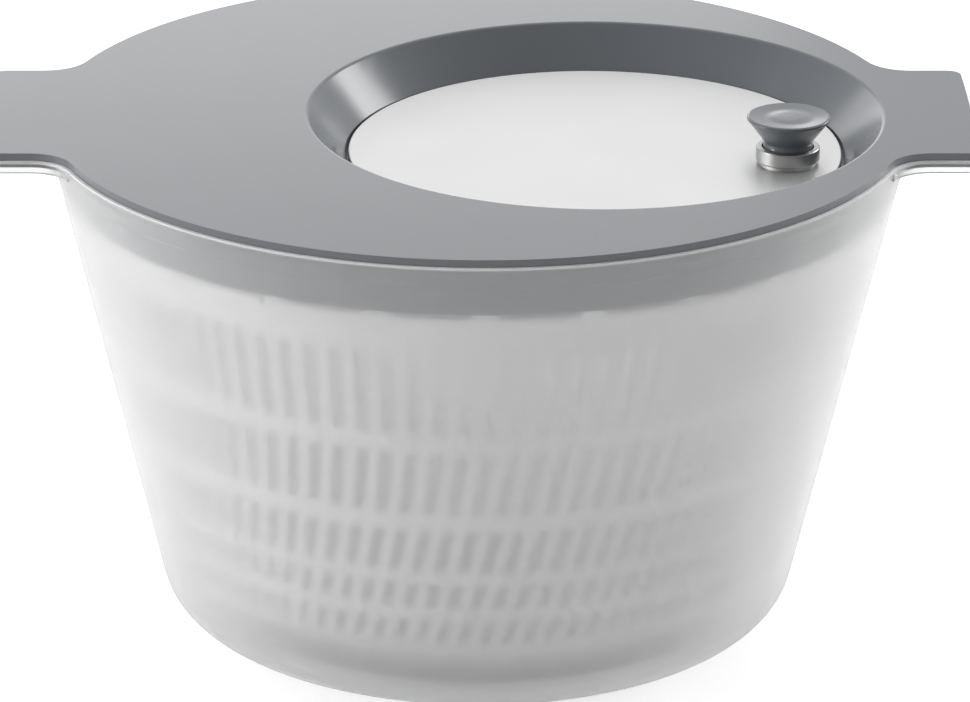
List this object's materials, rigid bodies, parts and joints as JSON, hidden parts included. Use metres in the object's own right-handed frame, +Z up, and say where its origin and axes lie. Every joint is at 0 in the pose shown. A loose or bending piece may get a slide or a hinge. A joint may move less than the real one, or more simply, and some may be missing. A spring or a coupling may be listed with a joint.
{
  "type": "salad spinner",
  "caption": "Crank salad spinner: frosted bowl with carrying wings, slotted basket on a pivot, and a lid whose off-centre steel crank disc turns the basket through gears.",
  "frame": {"origin": "on the surface the object stands on, at the bowl's axis", "axes": "+Z up along the bowl's axis; X along the two carrying wings, with the crank disc displaced towards +X"},
  "size_m": [0.2884, 0.252, 0.1562],
  "materials": {
    "frosted_plastic": "frosted translucent",
    "soft_ring": "soft matte",
    "plain_steel": "plain turned",
    "brushed_facing": "finely brushed",
    "acetal": "smooth",
    "basket_plastic": "smooth",
    "lid_plastic": "satin",
    "satin_steel": "satin turned"
  },
  "bodies": {
    "bowl": {"bowl": "frosted_plastic", "non_slip_ring": "soft_ring", "pivot_pin": "plain_steel"},
    "bearing": {"pivot_bearing": "acetal"},
    "basket": {"basket": "basket_plastic"},
    "lid": {"lid_cover": "lid_plastic", "gear_housing": "lid_plastic", "housing_screws": "plain_steel", "shaft_bush": "acetal", "crank_axle": "plain_steel", "crank_screw": "plain_steel", "crank_washer": "plain_steel"},
    "crank": {"crank_carrier": "lid_plastic", "ring_gear": "acetal", "gear_screws": "plain_steel", "crank_bush": "acetal", "steel_facing": "brushed_facing", "knob_collar": "satin_steel", "knob_pin": "plain_steel"},
    "knob": {"knob": "lid_plastic"},
    "drive": {"drive_pinion": "acetal", "drive_dish": "basket_plastic", "drive_washer": "plain_steel", "drive_screw": "plain_steel"}
  },
  "joints": [
    {"name": "lid_lift", "type": "slide", "parent": "bowl", "child": "lid", "axis": [0, 0, 1], "range_m": [0, 0.3]},
    {"name": "basket_lift", "type": "slide", "parent": "bowl", "child": "bearing", "axis": [0, 0, 1], "range_m": [0, 0.15]},
    {"name": "basket_spin", "type": "hinge", "parent": "bearing", "child": "basket", "pos_m": [0, 0, 0.02], "axis": [0, 0, 1], "continuous": true},
    {"name": "crank_spin", "type": "hinge", "parent": "lid", "child": "crank", "pos_m": [0.03375, 0, 0.135], "axis": [0, 0, 1], "continuous": true},
    {"name": "drive_spin", "type": "hinge", "parent": "lid", "child": "drive", "pos_m": [0, 0, 0.13], "axis": [0, 0, 1], "continuous": true},
    {"name": "knob_spin", "type": "hinge", "parent": "crank", "child": "knob", "pos_m": [0.08919, -0.0128, 0.148], "axis": [0, 0, 1], "continuous": true}
  ],
  "couplings": [
    {"joint": "drive_spin", "follows": "crank_spin", "ratio": 4},
    {"joint": "basket_spin", "follows": "crank_spin", "ratio": 4},
    {"joint": "basket_lift", "follows": "lid_lift", "ratio": 0.5}
  ]
}
